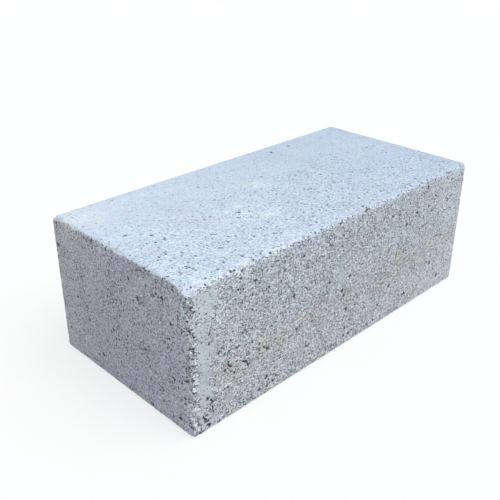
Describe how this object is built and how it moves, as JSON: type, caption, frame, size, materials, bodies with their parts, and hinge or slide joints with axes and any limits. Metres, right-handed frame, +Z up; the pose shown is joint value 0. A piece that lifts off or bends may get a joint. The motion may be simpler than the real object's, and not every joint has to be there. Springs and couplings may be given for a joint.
{
  "type": "concrete block",
  "caption": "Solid rectangular walling block pressed in pale grey concrete, with rounded top arrises, a broken top corner and a crumbled upright arris.",
  "frame": {"origin": "centre of the bottom bed face, on the floor that the block lies on", "axes": "+X along the length, +Y across the width, away from the long side with the crumbled arris, +Z up through the height"},
  "size_m": [0.39, 0.19, 0.14],
  "materials": {
    "pressed_concrete": "open-textured matt concrete, pale blue-grey"
  },
  "bodies": {
    "root": {"block": "pressed_concrete"}
  },
  "joints": []
}
